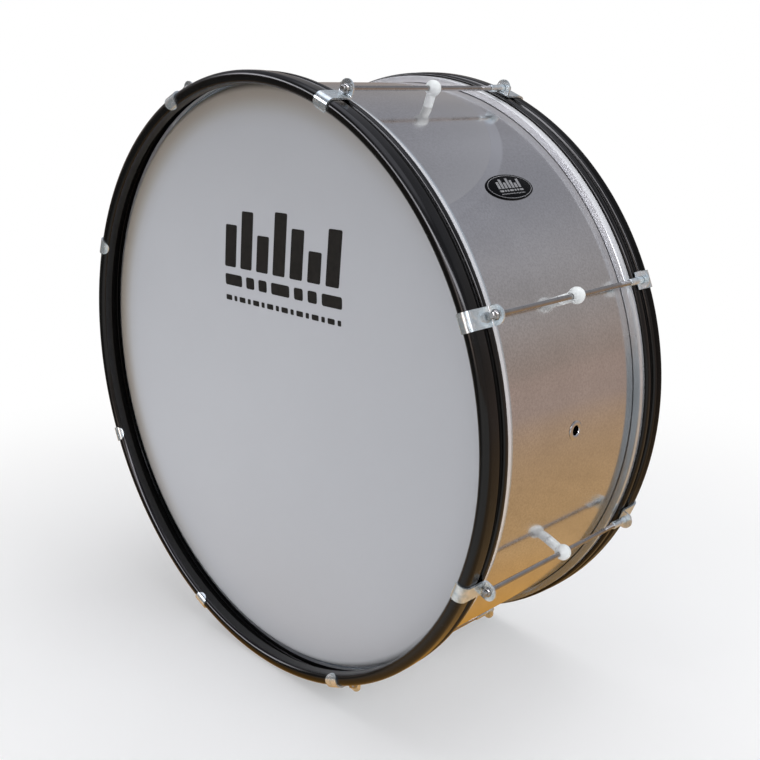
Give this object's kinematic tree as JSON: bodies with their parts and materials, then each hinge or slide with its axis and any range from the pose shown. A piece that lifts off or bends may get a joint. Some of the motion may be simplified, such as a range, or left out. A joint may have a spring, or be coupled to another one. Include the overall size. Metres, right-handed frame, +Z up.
{
  "type": "marching bass drum",
  "caption": "Upright double-headed bass drum: metal shell, two film heads, black counter hoops, and claws, through rods and ball stays around it.",
  "frame": {"origin": "centre of the drum, on its axis and midway between the two heads", "axes": "+Y runs along the drum's axis from the front (struck) head to the rear head, +Z up with the drum standing on its hoops, and the vent faces +X"},
  "size_m": [0.737, 0.317, 0.737],
  "materials": {
    "brushed_aluminium": "satin, finely brushed round the drum",
    "bright_aluminium": "bright extruded channel",
    "black_paint": "gloss black",
    "head_film": "smooth grey-white polyester film",
    "zinc_plate": "bright zinc plate",
    "chrome": "bright chrome plate",
    "white_plastic": "satin white",
    "badge_black": "gloss black with a fine light line"
  },
  "bodies": {
    "drum_shell": {"shell": "brushed_aluminium", "vent_grommet": "chrome", "badge": "badge_black", "ball_stay_1": "white_plastic", "ball_stay_2": "white_plastic", "ball_stay_3": "white_plastic", "ball_stay_4": "white_plastic", "ball_stay_5": "white_plastic", "ball_stay_6": "white_plastic", "ball_stay_7": "white_plastic", "ball_stay_8": "white_plastic", "stay_screw_1": "zinc_plate", "stay_screw_2": "zinc_plate", "stay_screw_3": "zinc_plate", "stay_screw_4": "zinc_plate", "stay_screw_5": "zinc_plate", "stay_screw_6": "zinc_plate", "stay_screw_7": "zinc_plate", "stay_screw_8": "zinc_plate"},
    "front_rim": {"front_hoop": "black_paint", "front_head": "head_film", "front_flesh_hoop": "bright_aluminium", "front_claw_1": "zinc_plate", "front_claw_2": "zinc_plate", "front_claw_3": "zinc_plate", "front_claw_4": "zinc_plate", "front_claw_5": "zinc_plate", "front_claw_6": "zinc_plate", "front_claw_7": "zinc_plate", "front_claw_8": "zinc_plate"},
    "rear_rim": {"rear_hoop": "black_paint", "rear_head": "head_film", "rear_flesh_hoop": "bright_aluminium", "rear_claw_1": "zinc_plate", "rear_claw_2": "zinc_plate", "rear_claw_3": "zinc_plate", "rear_claw_4": "zinc_plate", "rear_claw_5": "zinc_plate", "rear_claw_6": "zinc_plate", "rear_claw_7": "zinc_plate", "rear_claw_8": "zinc_plate", "barrel_nut_1": "zinc_plate", "barrel_nut_2": "zinc_plate", "barrel_nut_3": "zinc_plate", "barrel_nut_4": "zinc_plate", "barrel_nut_5": "zinc_plate", "barrel_nut_6": "zinc_plate", "barrel_nut_7": "zinc_plate", "barrel_nut_8": "zinc_plate"},
    "rod_1": {"tension_rod_1": "zinc_plate"},
    "rod_2": {"tension_rod_2": "zinc_plate"},
    "rod_3": {"tension_rod_3": "zinc_plate"},
    "rod_4": {"tension_rod_4": "zinc_plate"},
    "rod_5": {"tension_rod_5": "zinc_plate"},
    "rod_6": {"tension_rod_6": "zinc_plate"},
    "rod_7": {"tension_rod_7": "zinc_plate"},
    "rod_8": {"tension_rod_8": "zinc_plate"}
  },
  "joints": [
    {"name": "front_tension", "type": "slide", "parent": "drum_shell", "child": "front_rim", "axis": [0, -1, 0], "range_m": [0, 0.0084]},
    {"name": "rear_tension", "type": "slide", "parent": "drum_shell", "child": "rear_rim", "axis": [0, 1, 0], "range_m": [0, 0.0084]},
    {"name": "rod_turn_1", "type": "hinge", "parent": "front_rim", "child": "rod_1", "pos_m": [0.34793, -0.1252, 0.14412], "axis": [0, -1, 0], "range_deg": [0, 5715.1]},
    {"name": "rod_turn_2", "type": "hinge", "parent": "front_rim", "child": "rod_2", "pos_m": [0.14412, -0.1252, 0.34793], "axis": [0, -1, 0], "range_deg": [0, 5715.1]},
    {"name": "rod_turn_3", "type": "hinge", "parent": "front_rim", "child": "rod_3", "pos_m": [-0.14412, -0.1252, 0.34793], "axis": [0, -1, 0], "range_deg": [0, 5715.1]},
    {"name": "rod_turn_4", "type": "hinge", "parent": "front_rim", "child": "rod_4", "pos_m": [-0.34793, -0.1252, 0.14412], "axis": [0, -1, 0], "range_deg": [0, 5715.1]},
    {"name": "rod_turn_5", "type": "hinge", "parent": "front_rim", "child": "rod_5", "pos_m": [-0.34793, -0.1252, -0.14412], "axis": [0, -1, 0], "range_deg": [0, 5715.1]},
    {"name": "rod_turn_6", "type": "hinge", "parent": "front_rim", "child": "rod_6", "pos_m": [-0.14412, -0.1252, -0.34793], "axis": [0, -1, 0], "range_deg": [0, 5715.1]},
    {"name": "rod_turn_7", "type": "hinge", "parent": "front_rim", "child": "rod_7", "pos_m": [0.14412, -0.1252, -0.34793], "axis": [0, -1, 0], "range_deg": [0, 5715.1]},
    {"name": "rod_turn_8", "type": "hinge", "parent": "front_rim", "child": "rod_8", "pos_m": [0.34793, -0.1252, -0.14412], "axis": [0, -1, 0], "range_deg": [0, 5715.1]}
  ],
  "couplings": [
    {"joint": "rear_tension", "follows": "front_tension", "ratio": 1},
    {"joint": "rod_turn_1", "follows": "front_tension", "rad_per_m": 11874},
    {"joint": "rod_turn_2", "follows": "front_tension", "rad_per_m": 11874},
    {"joint": "rod_turn_3", "follows": "front_tension", "rad_per_m": 11874},
    {"joint": "rod_turn_4", "follows": "front_tension", "rad_per_m": 11874},
    {"joint": "rod_turn_5", "follows": "front_tension", "rad_per_m": 11874},
    {"joint": "rod_turn_6", "follows": "front_tension", "rad_per_m": 11874},
    {"joint": "rod_turn_7", "follows": "front_tension", "rad_per_m": 11874},
    {"joint": "rod_turn_8", "follows": "front_tension", "rad_per_m": 11874}
  ]
}
